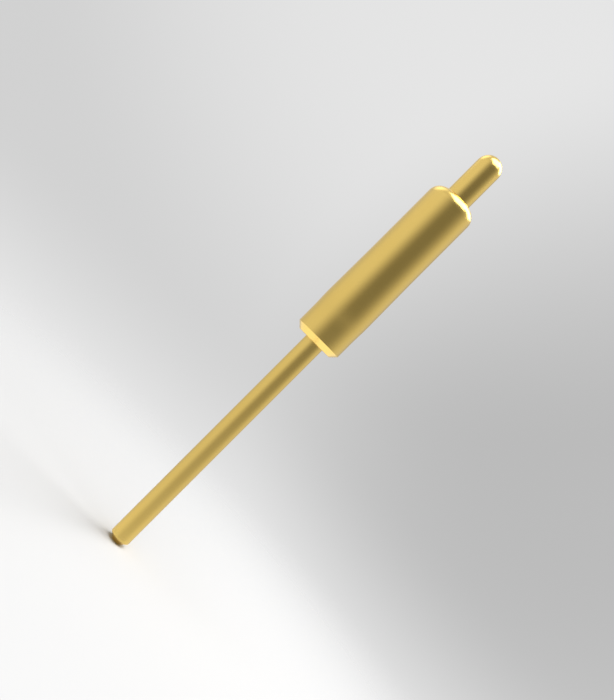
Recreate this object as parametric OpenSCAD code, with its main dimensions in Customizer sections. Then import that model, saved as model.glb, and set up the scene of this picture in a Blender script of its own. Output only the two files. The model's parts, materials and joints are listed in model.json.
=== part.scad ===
// Spring-loaded contact pin (pogo pin) with a long solder tail, in millimetres.
// The origin is the centre of the barrel's back face, which seats on the board.
// +Z runs along the pin to the plunger's tip, and the tail points down.

/* [Barrel] */
// Outside diameter of the barrel
barrel_d = 1.92; // [1.8:0.02:2.4]
// Length from the back face to the front of the rolled lip
barrel_len = 7.2; // [6.6:0.1:10]
// Wall thickness round the bore
barrel_wall = 0.25; // [0.18:0.01:0.28]
// Solid length between the back face and the floor of the bore
floor_len = 0.9; // [0.6:0.05:1.2]
// 45 degree chamfer round the back face
back_chamfer = 0.22; // [0.05:0.01:0.3]
// Inside corner radius where the lip is rolled in
lip_corner = 0.1; // [0.05:0.01:0.12]
// Diameter of the drill point left in the bore's floor
drill_point_d = 0.7; // [0.4:0.05:0.9]

/* [Press-fit bulge] */
// Height of the bulge over the barrel's radius
bulge_h = 0.02; // [0.01:0.005:0.05]
// Distance from the back face to the start of the bulge
bulge_start = 1.05; // [0.5:0.05:1.5]
// Length of the short slope on the tail's side
bulge_rise = 0.5; // [0.2:0.05:0.8]
// Length of the long slope on the plunger's side
bulge_fall = 2.35; // [1:0.05:3]

/* [Tail] */
// Diameter of the solder tail
tail_d = 0.8; // [0.5:0.05:1]
// Length of the tail below the back face
tail_len = 10; // [2:0.5:15]
// 45 degree chamfer round the tail's end
tail_chamfer = 0.21; // [0.05:0.01:0.24]

/* [Plunger] */
// Diameter of the stem, which ends in a half sphere
plunger_d = 1; // [0.8:0.02:1.08]
// How far the plunger stands out of the lip at rest
projection = 2.07; // [2.05:0.01:3]
// How far the plunger can be pressed in
travel = 1.4; // [1:0.05:1.5]
// 45 degree chamfer under the head and on the spigot
head_chamfer = 0.08; // [0.02:0.01:0.1]
// Length of the spigot that centres the spring
spigot_len = 0.5; // [0.2:0.05:0.8]

/* [Spring] */
// Diameter of the wire
wire_d = 0.15; // [0.1:0.01:0.17]
// Number of turns, with the closed turn at each end
turns = 12; // [8:1:14]
// Length left between all the turns when the plunger is fully pressed
spring_reserve = 0.65; // [0.3:0.05:0.9]

/* [Fits] */
// Radial clearance of the stem in the lip, and of the head in the bore
slide_gap = 0.02; // [0.01:0.005:0.03]
// Radial clearance of the spring in the bore, and round the spigot
spring_gap = 0.05; // [0.03:0.01:0.07]
// Clearance at each end of the spring, and between its closed turns
end_gap = 0.01; // [0.005:0.005:0.02]

/* [Hidden] */
$fn = 96;
gold = [0.85, 0.72, 0.4];
steel = [0.72, 0.72, 0.7];

// Barrel
barrel_r = barrel_d / 2;
bore_r = barrel_r - barrel_wall;
stem_r = plunger_d / 2;
mouth_r = stem_r + slide_gap;
lip_round = barrel_r - mouth_r;
lip_z = barrel_len - lip_round;
seat_z = barrel_len - barrel_wall;
drill_angle = 118;
drill_point_h = drill_point_d / 2 / tan(drill_angle / 2);
bulge_peak = bulge_start + bulge_rise;
bulge_end = bulge_peak + bulge_fall;

// Tail
tail_r = tail_d / 2;

// Spring: it fills the bore between the floor and the plunger's head
closed_turns = 1;
blend_turns = 0.25;
wire_r = wire_d / 2;
coil_r = bore_r - spring_gap - wire_r;
spring_len = turns * wire_d + travel + spring_reserve;
closed_pitch = wire_d + end_gap;
open_pitch = closed_pitch
    + (spring_len - wire_d - turns * closed_pitch) / (turns - 2 * closed_turns);
spring_z = floor_len + end_gap;

// Plunger
head_r = bore_r - slide_gap;
head_z = spring_z + spring_len + end_gap;
shoulder_round = lip_corner - slide_gap;
spigot_r = coil_r - wire_r - spring_gap;
tip_z = barrel_len + projection;

// Facets of the wire: sides round it, and rings in each turn
wire_sides = 8;
turn_rings = 24;

// Shallow bump round the barrel, as points of its outline from the bottom up
bulge_outline = [
    [barrel_r, bulge_start],
    [barrel_r + bulge_h, bulge_peak],
    [barrel_r, bulge_end]
];

// A quarter disc, up and to the right of its centre
module quarter(r, at) {
    translate(at) intersection() {
        circle(r);
        square(r);
    }
}

// Barrel and tail, turned from one bar. The front is rolled in over the plunger's head.
module barrel() {
    color(gold) rotate_extrude() difference() {
        union() {
            polygon([
                [0, -tail_len],
                [tail_r - tail_chamfer, -tail_len],
                [tail_r, -tail_len + tail_chamfer],
                [tail_r, 0],
                [barrel_r - back_chamfer, 0],
                [barrel_r, back_chamfer],
                each bulge_outline,
                [barrel_r, lip_z],
                [mouth_r, lip_z],
                [mouth_r, barrel_len],
                [0, barrel_len]
            ]);
            quarter(lip_round, [mouth_r, lip_z]);
        }
        bore();
    }
}

// Half section of the blind bore, from its drill point to the mouth in the lip
module bore() {
    polygon([
        [0, floor_len - drill_point_h],
        [drill_point_d / 2, floor_len],
        [bore_r, floor_len],
        [bore_r, seat_z - lip_corner],
        [bore_r - lip_corner, seat_z - lip_corner],
        [bore_r - lip_corner, seat_z],
        [mouth_r, seat_z],
        [mouth_r, barrel_len + slide_gap],
        [0, barrel_len + slide_gap]
    ]);
    quarter(lip_corner, [bore_r - lip_corner, seat_z - lip_corner]);
}

// Plunger, turned in one piece: round tip, stem, and a head that seats under the lip
module plunger() {
    color(gold) rotate_extrude() union() {
        polygon([
            [0, head_z - spigot_len],
            [spigot_r - head_chamfer, head_z - spigot_len],
            [spigot_r, head_z - spigot_len + head_chamfer],
            [spigot_r, head_z],
            [head_r - head_chamfer, head_z],
            [head_r, head_z + head_chamfer],
            [head_r, seat_z - shoulder_round],
            [head_r - shoulder_round, seat_z - shoulder_round],
            [head_r - shoulder_round, seat_z],
            [stem_r, seat_z],
            [stem_r, tip_z - stem_r],
            [0, tip_z - stem_r]
        ]);
        quarter(shoulder_round, [head_r - shoulder_round, seat_z - shoulder_round]);
        quarter(stem_r, [0, tip_z - stem_r]);
    }
}

// Grows from 0 to x, with a smooth start spread over blend_turns on each side of 0
function eased(x) =
    x < -blend_turns ? 0
    : x > blend_turns ? x
    : pow(x + blend_turns, 2) / (4 * blend_turns);

// Height of the wire's centre after t turns: a closed turn, open turns, a closed turn
function wire_height(t) =
    closed_pitch * t
    + (open_pitch - closed_pitch)
    * (eased(t - closed_turns) - eased(t - turns + closed_turns));

// Point number i of the ring round the wire after t turns
function ring_point(t, i) =
    let (
        side = 360 * i / wire_sides,
        r = coil_r + wire_r * cos(side),
        z = wire_height(t) + wire_r * sin(side)
    )
    [r * cos(360 * t), r * sin(360 * t), spring_z + wire_r + z];

// Compression spring with closed ends, between the bore's floor and the head
module spring() {
    last_ring = turns * turn_rings;
    points = [
        for (ring = [0:last_ring], i = [0:wire_sides - 1]) ring_point(ring / turn_rings, i)
    ];
    skin = [
        for (ring = [0:last_ring - 1], i = [0:wire_sides - 1])
            let (
                a = ring * wire_sides + i,
                b = ring * wire_sides + (i + 1) % wire_sides
            )
            [a, b, b + wire_sides, a + wire_sides]
    ];
    start_cap = [for (i = [0:wire_sides - 1]) wire_sides - 1 - i];
    end_cap = [for (i = [0:wire_sides - 1]) last_ring * wire_sides + i];
    color(steel) polyhedron(points, concat([start_cap, end_cap], skin));
}

barrel();
spring();
plunger();
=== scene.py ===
import json
import math

import bpy
from mathutils import Matrix, Vector


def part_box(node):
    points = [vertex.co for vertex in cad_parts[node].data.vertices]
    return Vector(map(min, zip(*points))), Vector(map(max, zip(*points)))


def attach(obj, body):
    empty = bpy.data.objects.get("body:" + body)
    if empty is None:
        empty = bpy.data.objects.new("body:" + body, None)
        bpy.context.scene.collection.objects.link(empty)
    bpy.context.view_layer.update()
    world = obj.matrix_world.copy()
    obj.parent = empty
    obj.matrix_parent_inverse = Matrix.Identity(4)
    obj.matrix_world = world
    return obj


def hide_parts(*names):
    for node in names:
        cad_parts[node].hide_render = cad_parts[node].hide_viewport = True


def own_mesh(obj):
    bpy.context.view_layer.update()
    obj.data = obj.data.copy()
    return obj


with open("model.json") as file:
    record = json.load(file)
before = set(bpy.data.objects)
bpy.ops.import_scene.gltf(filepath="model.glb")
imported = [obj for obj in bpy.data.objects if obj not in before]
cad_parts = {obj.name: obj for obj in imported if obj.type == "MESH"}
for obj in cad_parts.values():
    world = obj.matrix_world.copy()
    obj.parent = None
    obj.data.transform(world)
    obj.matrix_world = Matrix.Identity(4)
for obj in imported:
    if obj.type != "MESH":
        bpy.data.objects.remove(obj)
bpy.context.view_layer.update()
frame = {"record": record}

MM = 0.001
mounts = {mount["name"]: mount for mount in frame["record"]["mounts"]}

# Barrel and solder tail
# Brass, turned from one bar, bored from the front and gold plated. The front edge is
# spun in over the plunger's head, which leaves the full-round lip. The low swelling near
# the back is what bites when the pin is pressed into a housing.
barrel_low, barrel_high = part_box("barrel")
barrel_r = mounts["housing_press"]["dims"]["r_mm"] * MM
tail_r = mounts["solder_tail"]["dims"]["r_mm"] * MM
tail_chamfer = 0.21 * MM
back_chamfer = 0.22 * MM
wall = 0.25 * MM
slide_gap = 0.02 * MM
stem_r = 0.5 * MM
mouth_r = stem_r + slide_gap
bore_r = barrel_r - wall
bore_floor = 0.9 * MM
drill_point_r = 0.35 * MM
drill_angle = math.radians(118)
drill_point = bore_floor - drill_point_r / math.tan(drill_angle / 2)
lip_front = barrel_high.z
seat_z = lip_front - wall
lip_corner = 0.1 * MM
bulge_start = 1.05 * MM
bulge_peak = 1.55 * MM
bulge_end = 3.9 * MM
bulge_round = 10 * MM
edge_break = 0.012 * MM
flat_margin = 0.012 * MM
turned_sides = 128
corner_steps = 10
seam_gap = 1e-8

# Corners of the half section, from the tail's end up, over the lip and down the bore:
# distance from the axis, height, and the radius that rounds the corner
barrel_outline = [
    (0, barrel_low.z, 0),
    (tail_r - tail_chamfer, barrel_low.z, edge_break),
    (tail_r, barrel_low.z + tail_chamfer, edge_break),
    (tail_r, 0, edge_break),
    (barrel_r - back_chamfer, 0, edge_break),
    (barrel_r, back_chamfer, edge_break),
    (barrel_r, bulge_start, bulge_round),
    (barrel_high.x, bulge_peak, bulge_round),
    (barrel_r, bulge_end, bulge_round),
    (barrel_r, lip_front, barrel_r - mouth_r - edge_break),
    (mouth_r, lip_front, edge_break),
    (mouth_r, seat_z, edge_break),
    (bore_r, seat_z, lip_corner),
    (bore_r, bore_floor, edge_break),
    (drill_point_r, bore_floor, edge_break),
    (0, drill_point, 0),
]


def add_node(tree, kind, inputs=None, **settings):
    """A new node with its properties set, and its inputs linked or given a value."""
    made = tree.nodes.new(kind)
    for name, value in settings.items():
        setattr(made, name, value)
    for key, value in (inputs or {}).items():
        if isinstance(value, bpy.types.NodeSocket):
            tree.links.new(value, made.inputs[key])
        else:
            made.inputs[key].default_value = value
    return made


def calculate(tree, operation, *values):
    """The result of a Math node."""
    made = add_node(tree, "ShaderNodeMath", dict(enumerate(values)), operation=operation)
    return made.outputs[0]


def new_tree(name, sizes):
    """A Geometry Nodes tree with named inputs, and the sockets that give them."""
    tree = bpy.data.node_groups.new(name, "GeometryNodeTree")
    for size, kind in {"Geometry": "Geometry", **sizes, "Finish": "Material"}.items():
        tree.interface.new_socket(size, in_out="INPUT", socket_type="NodeSocket" + kind)
    tree.interface.new_socket("Geometry", in_out="OUTPUT", socket_type="NodeSocketGeometry")
    return tree, add_node(tree, "NodeGroupInput").outputs


def close_tree(tree, shape, finish):
    """Ends a tree: smooth faces, no instances left, and the piece's finish on them."""
    smooth = add_node(tree, "GeometryNodeSetShadeSmooth", {"Geometry": shape})
    real = add_node(tree, "GeometryNodeRealizeInstances", {0: smooth.outputs[0]})
    dressed = add_node(
        tree, "GeometryNodeSetMaterial", {"Geometry": real.outputs[0], "Material": finish}
    )
    add_node(tree, "NodeGroupOutput", {"Geometry": dressed.outputs[0]})


def grow(name, start, tree, values):
    """A piece that a tree makes from a start mesh, as a plain mesh with no modifier left."""
    piece = bpy.data.objects.new(name, start)
    modifier = piece.modifiers.new(tree.name, "NODES")
    modifier.node_group = tree
    for socket in tree.interface.items_tree:
        if socket.in_out == "INPUT" and socket.name in values:
            modifier[socket.identifier] = values[socket.name]
    bpy.context.scene.collection.objects.link(piece)
    shaped = piece.evaluated_get(bpy.context.evaluated_depsgraph_get())
    mesh = bpy.data.meshes.new_from_object(shaped)
    piece.modifiers.clear()
    piece.data = mesh
    mesh.name = piece.name
    return piece


def lathe_tree():
    """Rounds the corners of an outline, then turns it about the axis into a closed skin."""
    tree, given = new_tree("lathe", {"Sides": "Int", "Steps": "Int"})
    outline = add_node(tree, "GeometryNodeMeshToCurve", {"Mesh": given["Geometry"]})
    rounding = add_node(tree, "GeometryNodeInputNamedAttribute", {"Name": "rounding"})
    rounded = add_node(tree, "GeometryNodeFilletCurve", mode="POLY")
    tree.links.new(outline.outputs[0], rounded.inputs["Curve"])
    tree.links.new(given["Steps"], rounded.inputs["Count"])
    tree.links.new(rounding.outputs[0], rounded.inputs["Radius"])
    rounded.inputs["Limit Radius"].default_value = True
    size = add_node(tree, "GeometryNodeAttributeDomainSize", component="CURVE")
    tree.links.new(rounded.outputs[0], size.inputs[0])
    rows = size.outputs["Point Count"]
    columns = calculate(tree, "ADD", given["Sides"], 1)
    sheet = add_node(
        tree, "GeometryNodeMeshGrid", {"Vertices X": columns, "Vertices Y": rows}
    )
    index = add_node(tree, "GeometryNodeInputIndex").outputs[0]
    row = calculate(tree, "MODULO", index, rows)
    column = calculate(tree, "FLOOR", calculate(tree, "DIVIDE", index, rows))
    step = calculate(tree, "DIVIDE", math.tau, given["Sides"])
    angle = calculate(tree, "MULTIPLY", column, step)
    place = add_node(tree, "GeometryNodeInputPosition").outputs[0]
    corner = add_node(
        tree, "GeometryNodeSampleIndex", data_type="FLOAT_VECTOR", domain="POINT"
    )
    tree.links.new(rounded.outputs[0], corner.inputs["Geometry"])
    tree.links.new(place, corner.inputs["Value"])
    tree.links.new(row, corner.inputs["Index"])
    section = add_node(tree, "ShaderNodeSeparateXYZ", {0: corner.outputs["Value"]}).outputs
    around = {
        "X": calculate(tree, "MULTIPLY", section["X"], calculate(tree, "COSINE", angle)),
        "Y": calculate(tree, "MULTIPLY", section["X"], calculate(tree, "SINE", angle)),
        "Z": section["Z"],
    }
    place = add_node(tree, "ShaderNodeCombineXYZ", around).outputs[0]
    skin = add_node(
        tree, "GeometryNodeSetPosition", {"Geometry": sheet.outputs[0], "Position": place}
    )
    closed = add_node(
        tree,
        "GeometryNodeMergeByDistance",
        {"Geometry": skin.outputs[0], "Distance": seam_gap},
    )
    close_tree(tree, closed.outputs[0], given["Finish"])
    return tree


lathe = lathe_tree()


def hold_flats(outline, hold):
    """Adds a point just clear of each rounded corner, so that the walls between stay flat."""
    spots = [Vector((r, z)) for r, z, _ in outline]
    runs = [after - before for before, after in zip(spots, spots[1:])]
    clear = [0.0]
    for before, after, (_, _, rounding) in zip(runs, runs[1:], outline[1:]):
        clear.append(rounding * math.tan(before.angle(after) / 2) + hold)
    clear.append(0.0)
    held = []
    for i, run in enumerate(runs):
        held.append(outline[i])
        if run.length > clear[i] + clear[i + 1] + hold:
            for along in (clear[i], run.length - clear[i + 1]):
                if 0 < along < run.length:
                    spot = spots[i] + run * (along / run.length)
                    held.append((spot.x, spot.y, 0))
    return held + [outline[-1]]


def turn(name, outline, finish):
    """A piece turned from the corners of its half section."""
    outline = hold_flats(outline, flat_margin)
    line = bpy.data.meshes.new(name + "_outline")
    edges = [(i, i + 1) for i in range(len(outline) - 1)]
    line.from_pydata([(r, 0, z) for r, z, _ in outline], edges, [])
    rounding = line.attributes.new("rounding", "FLOAT", "POINT")
    rounding.data.foreach_set("value", [radius for _, _, radius in outline])
    values = {"Sides": turned_sides, "Steps": corner_steps, "Finish": finish}
    return grow(name, line, lathe, values)


def gold_plating(name, pitch, relief, roughness):
    """Gold over turned brass: faint rings from the tool, and a slow drift in tone."""
    deep_gold = (0.90, 0.63, 0.17, 1)
    pale_gold = (0.90, 0.65, 0.195, 1)
    gloss_spread = 0.03
    face_feed = 1.7
    finish = bpy.data.materials.new(name)
    finish.use_nodes = True
    tree = finish.node_tree
    shader = tree.nodes["Principled BSDF"]
    shader.inputs["Metallic"].default_value = 1
    spot = add_node(tree, "ShaderNodeTexCoord").outputs["Object"]
    height = add_node(tree, "ShaderNodeSeparateXYZ", {0: spot}).outputs["Z"]
    flat = add_node(
        tree, "ShaderNodeVectorMath", {0: spot, 1: (1, 1, 0)}, operation="MULTIPLY"
    )
    radius = add_node(
        tree, "ShaderNodeVectorMath", {0: flat.outputs["Vector"]}, operation="LENGTH"
    )
    # the tool feeds along the walls and across the faces, so the rings count both ways
    feed = calculate(tree, "MULTIPLY_ADD", radius.outputs["Value"], face_feed, height)
    rings = add_node(
        tree,
        "ShaderNodeTexNoise",
        {"W": feed, "Scale": 1 / pitch, "Detail": 2.0, "Roughness": 0.6},
        noise_dimensions="1D",
    ).outputs[0]
    drift = add_node(
        tree, "ShaderNodeTexNoise", {"Vector": spot, "Scale": 0.7 / MM, "Detail": 3.0}
    ).outputs[0]
    tone = add_node(tree, "ShaderNodeMix", {"Factor": drift}, data_type="RGBA")
    tone.inputs[6].default_value = deep_gold
    tone.inputs[7].default_value = pale_gold
    tree.links.new(tone.outputs[2], shader.inputs["Base Color"])
    least = roughness - gloss_spread
    most = roughness + gloss_spread
    gloss = add_node(
        tree, "ShaderNodeMapRange", {"Value": rings, "To Min": least, "To Max": most}
    )
    tree.links.new(gloss.outputs[0], shader.inputs["Roughness"])
    bump = add_node(tree, "ShaderNodeBump", {"Distance": relief, "Height": rings})
    tree.links.new(bump.outputs[0], shader.inputs["Normal"])
    return finish


barrel_gold = gold_plating("barrel_gold", pitch=0.05 * MM, relief=0.00012 * MM, roughness=0.24)
barrel = turn("pin_barrel", barrel_outline, barrel_gold)
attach(barrel, "barrel")
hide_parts("barrel")

# Spring
# Stainless wire, coiled with one closed turn at each end. It stands on the floor of the
# bore and pushes on the plunger's head.
spring_low, spring_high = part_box("spring")
spring_length = spring_high.z - spring_low.z
wire_r = 0.075 * MM
coil_r = spring_high.x - wire_r
end_gap = 0.01 * MM
spring_turns = 12.0
closed_turns = 1.0
closed_pitch = 2 * wire_r + end_gap
blend_turns = 0.25
turn_rings = 48
wire_sides = 16


def coil_tree():
    """Winds a wire into a compression spring, standing on the start mesh's first point."""
    tree, given = new_tree(
        "coil",
        {
            "Wire Radius": "Float",
            "Coil Radius": "Float",
            "Length": "Float",
            "Turns": "Float",
            "Closed Turns": "Float",
            "Closed Pitch": "Float",
            "Rings per Turn": "Int",
            "Sides": "Int",
            "Blend": "Float",
        },
    )

    def eased(turns):
        """Zero before a change of pitch, and the turns since it afterwards, with a soft start."""
        spread = calculate(tree, "MULTIPLY", given["Blend"], 4)
        inside = calculate(tree, "ADD", turns, given["Blend"])
        inside = calculate(tree, "MAXIMUM", inside, 0)
        curve = calculate(tree, "DIVIDE", calculate(tree, "MULTIPLY", inside, inside), spread)
        past = calculate(tree, "GREATER_THAN", turns, given["Blend"])
        return add_node(
            tree, "ShaderNodeMix", {"Factor": past, 2: curve, 3: turns}, data_type="FLOAT"
        ).outputs[0]

    count = calculate(tree, "MULTIPLY", given["Turns"], given["Rings per Turn"])
    wire = add_node(
        tree, "GeometryNodeMeshLine", {"Count": calculate(tree, "ADD", count, 1)}
    ).outputs[0]
    wire = add_node(tree, "GeometryNodeMeshToCurve", {"Mesh": wire}).outputs[0]
    index = add_node(tree, "GeometryNodeInputIndex").outputs[0]
    turns = calculate(tree, "DIVIDE", index, given["Rings per Turn"])
    ends = calculate(tree, "MULTIPLY", given["Turns"], given["Closed Pitch"])
    thick = calculate(tree, "MULTIPLY", given["Wire Radius"], 2)
    spare = calculate(tree, "SUBTRACT", calculate(tree, "SUBTRACT", given["Length"], thick), ends)
    last = calculate(tree, "SUBTRACT", given["Turns"], given["Closed Turns"])
    open_turns = calculate(tree, "SUBTRACT", last, given["Closed Turns"])
    extra = calculate(tree, "DIVIDE", spare, open_turns)
    opened = calculate(
        tree,
        "SUBTRACT",
        eased(calculate(tree, "SUBTRACT", turns, given["Closed Turns"])),
        eased(calculate(tree, "SUBTRACT", turns, last)),
    )
    rise = calculate(tree, "MULTIPLY_ADD", opened, extra, given["Wire Radius"])
    rise = calculate(tree, "MULTIPLY_ADD", turns, given["Closed Pitch"], rise)
    angle = calculate(tree, "MULTIPLY", turns, math.tau)
    base = add_node(tree, "GeometryNodeInputPosition").outputs[0]
    foot = add_node(
        tree,
        "GeometryNodeSampleIndex",
        {"Geometry": given["Geometry"]},
        data_type="FLOAT_VECTOR",
    )
    tree.links.new(base, foot.inputs["Value"])
    helix = {
        "X": calculate(tree, "MULTIPLY", given["Coil Radius"], calculate(tree, "COSINE", angle)),
        "Y": calculate(tree, "MULTIPLY", given["Coil Radius"], calculate(tree, "SINE", angle)),
        "Z": rise,
    }
    place = add_node(
        tree,
        "ShaderNodeVectorMath",
        {0: add_node(tree, "ShaderNodeCombineXYZ", helix).outputs[0], 1: foot.outputs["Value"]},
        operation="ADD",
    ).outputs[0]
    wound = add_node(tree, "GeometryNodeSetPosition", {"Geometry": wire, "Position": place})
    section = add_node(
        tree,
        "GeometryNodeCurvePrimitiveCircle",
        {"Resolution": given["Sides"], "Radius": given["Wire Radius"]},
    )
    drawn = add_node(
        tree,
        "GeometryNodeCurveToMesh",
        {"Curve": wound.outputs[0], "Profile Curve": section.outputs[0], "Fill Caps": True},
    )
    close_tree(tree, drawn.outputs[0], given["Finish"])
    return tree


def drawn_steel(name):
    """Bright stainless wire with the soft, uneven gloss that drawing leaves."""
    dark_steel = (0.50, 0.50, 0.49, 1)
    light_steel = (0.66, 0.66, 0.65, 1)
    finish = bpy.data.materials.new(name)
    finish.use_nodes = True
    tree = finish.node_tree
    shader = tree.nodes["Principled BSDF"]
    shader.inputs["Metallic"].default_value = 1
    spot = add_node(tree, "ShaderNodeTexCoord").outputs["Object"]
    streaks = add_node(
        tree, "ShaderNodeMapping", {"Vector": spot, "Scale": (1, 1, 12)}
    ).outputs[0]
    streaks = add_node(
        tree, "ShaderNodeTexNoise", {"Vector": streaks, "Scale": 4 / MM, "Detail": 4.0}
    ).outputs[0]
    tone = add_node(tree, "ShaderNodeMix", {"Factor": streaks}, data_type="RGBA")
    tone.inputs[6].default_value = dark_steel
    tone.inputs[7].default_value = light_steel
    tree.links.new(tone.outputs[2], shader.inputs["Base Color"])
    gloss = add_node(
        tree, "ShaderNodeMapRange", {"Value": streaks, "To Min": 0.2, "To Max": 0.36}
    )
    tree.links.new(gloss.outputs[0], shader.inputs["Roughness"])
    bump = add_node(tree, "ShaderNodeBump", {"Distance": 0.0004 * MM, "Height": streaks})
    tree.links.new(bump.outputs[0], shader.inputs["Normal"])
    return finish


spring_foot = bpy.data.meshes.new("spring_foot")
spring_foot.from_pydata([(0, 0, spring_low.z)], [], [])
spring = grow(
    "pin_spring",
    spring_foot,
    coil_tree(),
    {
        "Wire Radius": wire_r,
        "Coil Radius": coil_r,
        "Length": spring_length,
        "Turns": spring_turns,
        "Closed Turns": closed_turns,
        "Closed Pitch": closed_pitch,
        "Rings per Turn": turn_rings,
        "Sides": wire_sides,
        "Blend": blend_turns,
        "Finish": drawn_steel("drawn_steel"),
    },
)
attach(spring, "barrel")
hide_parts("spring")
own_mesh(spring)

# Plunger
# Brass, turned in one piece and gold plated: a stem with a half-round tip, and inside the
# barrel a wider head that seats under the lip. A spigot below the head centres the spring.
plunger_low, plunger_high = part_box("plunger")
head_r = plunger_high.x
head_z = spring_high.z + end_gap
head_chamfer = 0.08 * MM
shoulder_round = lip_corner - slide_gap
spring_gap = 0.05 * MM
spigot_r = coil_r - wire_r - spring_gap

plunger_outline = [
    (0, plunger_low.z, 0),
    (spigot_r - head_chamfer, plunger_low.z, edge_break),
    (spigot_r, plunger_low.z + head_chamfer, edge_break),
    (spigot_r, head_z, edge_break),
    (head_r - head_chamfer, head_z, edge_break),
    (head_r, head_z + head_chamfer, edge_break),
    (head_r, seat_z, shoulder_round),
    (stem_r, seat_z, edge_break),
    (stem_r, plunger_high.z, stem_r),
    (0, plunger_high.z, 0),
]
plunger_gold = gold_plating("plunger_gold", pitch=0.035 * MM, relief=0.00008 * MM, roughness=0.22)
plunger = turn("pin_plunger", plunger_outline, plunger_gold)
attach(plunger, "plunger")
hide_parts("plunger")

# Floor
# A pale sheet at the tail's end, which fades into the backdrop with distance. The metal
# sees only the patch round the tail, where the contact shadow lies.
floor_reach = 30 * MM
rim_points = 96
fade_start = 4 * MM
fade_end = 26 * MM
shine_start = 0.3 * MM
shine_end = 1.6 * MM
floor_mesh = bpy.data.meshes.new("floor")
rim = [math.tau * i / rim_points for i in range(rim_points)]
floor_mesh.from_pydata(
    [(floor_reach * math.cos(a), floor_reach * math.sin(a), barrel_low.z) for a in rim],
    [],
    [range(rim_points)],
)
floor = bpy.data.objects.new("floor", floor_mesh)
bpy.context.scene.collection.objects.link(floor)
paper = bpy.data.materials.new("paper")
paper.use_nodes = True
tree = paper.node_tree
tree.nodes.clear()
spot = add_node(tree, "ShaderNodeTexCoord").outputs["Object"]
flat = add_node(tree, "ShaderNodeVectorMath", {0: spot, 1: (1, 1, 0)}, operation="MULTIPLY")
away = add_node(
    tree, "ShaderNodeVectorMath", {0: flat.outputs["Vector"]}, operation="LENGTH"
).outputs["Value"]


def fade(tree, value, start, end, first=1.0, last=0.0):
    """Eases from the first level to the last between two values."""
    return add_node(
        tree,
        "ShaderNodeMapRange",
        {"Value": value, "From Min": start, "From Max": end, "To Min": first, "To Max": last},
        interpolation_type="SMOOTHSTEP",
    ).outputs[0]


rays = add_node(tree, "ShaderNodeLightPath").outputs
seen = add_node(
    tree,
    "ShaderNodeMix",
    {
        "Factor": rays["Is Glossy Ray"],
        2: fade(tree, away, fade_start, fade_end),
        3: fade(tree, away, shine_start, shine_end),
    },
    data_type="FLOAT",
).outputs[0]
under = add_node(tree, "ShaderNodeNewGeometry").outputs["Backfacing"]
seen = calculate(tree, "MULTIPLY", seen, calculate(tree, "SUBTRACT", 1, under))
clear = add_node(tree, "ShaderNodeBsdfTransparent").outputs[0]
white = add_node(tree, "ShaderNodeBsdfDiffuse", {"Color": (0.79, 0.79, 0.79, 1)}).outputs[0]
mixed = add_node(tree, "ShaderNodeMixShader", {0: seen, 1: clear, 2: white}).outputs[0]
add_node(tree, "ShaderNodeOutputMaterial", {"Surface": mixed})
floor_mesh.materials.append(paper)

# Studio
# A pale room and two soft boxes, one overhead and one behind on the right. The metal alone
# also sees a bright patch on the left, a brighter ground, and a dark gap on the camera's
# side, which draws the shadow band down the gold.
room_level = 0.66
room_drift = 0.04
gap_level = 0.2
fill_level = 0.24
world = bpy.data.worlds.new("studio")
bpy.context.scene.world = world
world.use_nodes = True
tree = world.node_tree
tree.nodes.clear()
toward = add_node(tree, "ShaderNodeTexCoord").outputs["Generated"]
way = add_node(tree, "ShaderNodeSeparateXYZ", {0: toward}).outputs
rays = add_node(tree, "ShaderNodeLightPath").outputs


def direction(bearing, height):
    """Points from the pin: the bearing turns from the camera's side towards the right."""
    across, up = math.radians(bearing), math.radians(height)
    level = math.cos(up)
    return (math.sin(across) * level, -math.cos(across) * level, math.sin(up))


def patch(tree, bearing, height, width, level):
    """A round patch of the room, lighter or darker than the rest, that fades to its rim."""
    near = add_node(
        tree,
        "ShaderNodeVectorMath",
        {0: toward, 1: direction(bearing, height)},
        operation="DOT_PRODUCT",
    ).outputs["Value"]
    return fade(tree, near, math.cos(math.radians(width)), 1.0, 0.0, level)


# the camera's side is lighter in the metal, most of all a little above eye level
front = fade(tree, way["Y"], 0.8, 0.0, 0.0, 1.0)
front = calculate(tree, "MULTIPLY", front, rays["Is Glossy Ray"])
tall = calculate(
    tree,
    "ADD",
    fade(tree, way["Z"], -0.3, 0.4, 0.11, 0.22),
    fade(tree, way["Z"], 0.45, 0.75, 0.0, -0.15),
)
shine = patch(tree, -122, 38, 25, 1.0)
backdrop = calculate(tree, "MULTIPLY_ADD", way["X"], room_drift, room_level)
for part in (
    patch(tree, 159, 9, 27, -0.175),
    patch(tree, -171.5, 28, 32, 0.13),
    calculate(tree, "MULTIPLY", front, tall),
    calculate(tree, "MULTIPLY", shine, rays["Is Glossy Ray"]),
):
    backdrop = calculate(tree, "ADD", backdrop, part)

# the ground grows lighter downwards; in the metal it then darkens again further down, on
# the camera's side and straight behind the pin
ground = fade(tree, way["Z"], -0.05, -0.37, 0.0, 0.30)
ground_shine = fade(tree, way["Z"], -0.25, -0.48, 0.0, 0.5)
beside = calculate(tree, "ABSOLUTE", way["X"])
far_side = calculate(
    tree, "MULTIPLY", fade(tree, way["Y"], 0.35, 0.7, 0.0, 1.0), fade(tree, beside, 0.1, 0.38)
)
shaded = calculate(tree, "ADD", far_side, fade(tree, way["Y"], -0.1, -0.65, 0.0, 1.0))
shaded = calculate(tree, "MULTIPLY", shaded, fade(tree, way["Z"], -0.32, -0.55, 0.0, -0.72))
ground_shine = calculate(tree, "ADD", ground_shine, shaded)
ground = add_node(
    tree,
    "ShaderNodeMix",
    {"Factor": rays["Is Glossy Ray"], 2: ground, 3: ground_shine},
    data_type="FLOAT",
).outputs[0]
backdrop = calculate(tree, "ADD", backdrop, ground)

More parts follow.
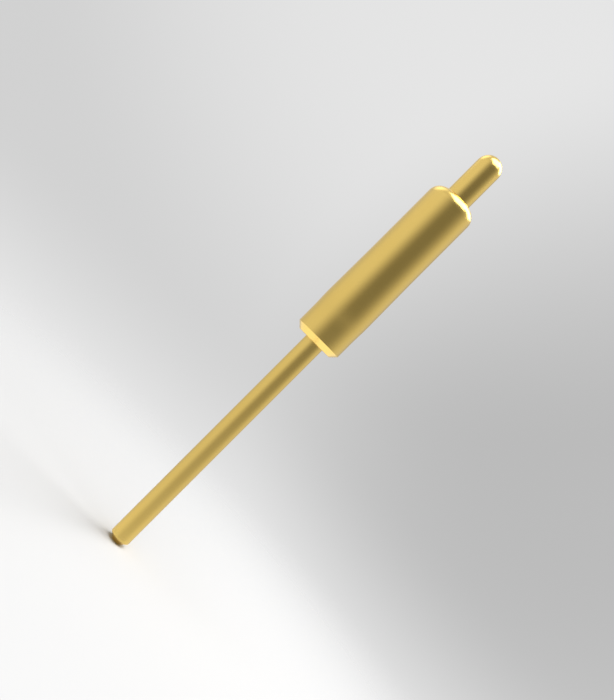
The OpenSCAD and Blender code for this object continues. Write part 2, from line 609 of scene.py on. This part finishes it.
# the dark gap, deepest a little to the right of the camera
bearing = calculate(tree, "ARCTAN2", way["X"], calculate(tree, "MULTIPLY", way["Y"], -1))
gap = calculate(
    tree,
    "MULTIPLY",
    fade(tree, bearing, math.radians(-58), math.radians(8), 0.0, 1.0),
    fade(tree, bearing, math.radians(32), math.radians(140), 1.0, 0.0),
)
gap = calculate(tree, "MULTIPLY", gap, fade(tree, way["Z"], -0.6, 0.15, 0.0, 1.0))
gap = calculate(tree, "MULTIPLY", gap, fade(tree, way["Z"], 0.7, 0.95, 1.0, 0.0))
gap = calculate(tree, "MULTIPLY", gap, rays["Is Glossy Ray"])
room = add_node(
    tree, "ShaderNodeMix", {"Factor": gap, 2: backdrop, 3: gap_level}, data_type="FLOAT"
).outputs[0]

# matt surfaces are lit at one even level instead
shown = calculate(tree, "ADD", rays["Is Camera Ray"], rays["Is Glossy Ray"])
shown = calculate(tree, "ADD", shown, rays["Is Transmission Ray"])
shown = calculate(tree, "MINIMUM", shown, 1.0)
level = add_node(
    tree, "ShaderNodeMix", {"Factor": shown, 2: fill_level, 3: room}, data_type="FLOAT"
).outputs[0]
light = add_node(tree, "ShaderNodeBackground", {"Strength": level})
light.inputs["Color"].default_value = (1, 1, 1, 1)
add_node(tree, "ShaderNodeOutputWorld", {"Surface": light.outputs[0]})


lamp_distance = 80 * MM


def soft_box(name, bearing, height, width, level):
    """A square soft box that faces the pin, seen by the metal but not by the camera."""
    lamp = bpy.data.lights.new(name, "AREA")
    lamp.size = width
    lamp.energy = level * math.pi * width * width
    box = bpy.data.objects.new(name, lamp)
    way = Vector(direction(bearing, height))
    box.location = way * lamp_distance
    box.rotation_euler = way.to_track_quat("Z", "Y").to_euler()
    box.visible_camera = False
    bpy.context.scene.collection.objects.link(box)


soft_box("key", bearing=121, height=50, width=54 * MM, level=4.0)
soft_box("overhead", bearing=30, height=75, width=72 * MM, level=3.8)

# Camera
# It looks level at the middle of the pin, and is rolled so that the pin leans to the right.
pin_middle = (plunger_high.z + barrel_low.z) / 2
camera_distance = 28.57 * MM
lean = math.radians(45)
camera_data = bpy.data.cameras.new("camera")
camera_data.lens = 41.14
camera_data.clip_start = 1 * MM
camera_data.clip_end = 2
camera = bpy.data.objects.new("camera", camera_data)
bpy.context.scene.collection.objects.link(camera)
bpy.context.scene.camera = camera
camera.matrix_world = (
    Matrix.Translation((0, -camera_distance, pin_middle))
    @ Matrix.Rotation(math.radians(90), 4, "X")
    @ Matrix.Rotation(lean, 4, "Z")
)

bpy.context.scene.view_settings.view_transform = "Standard"
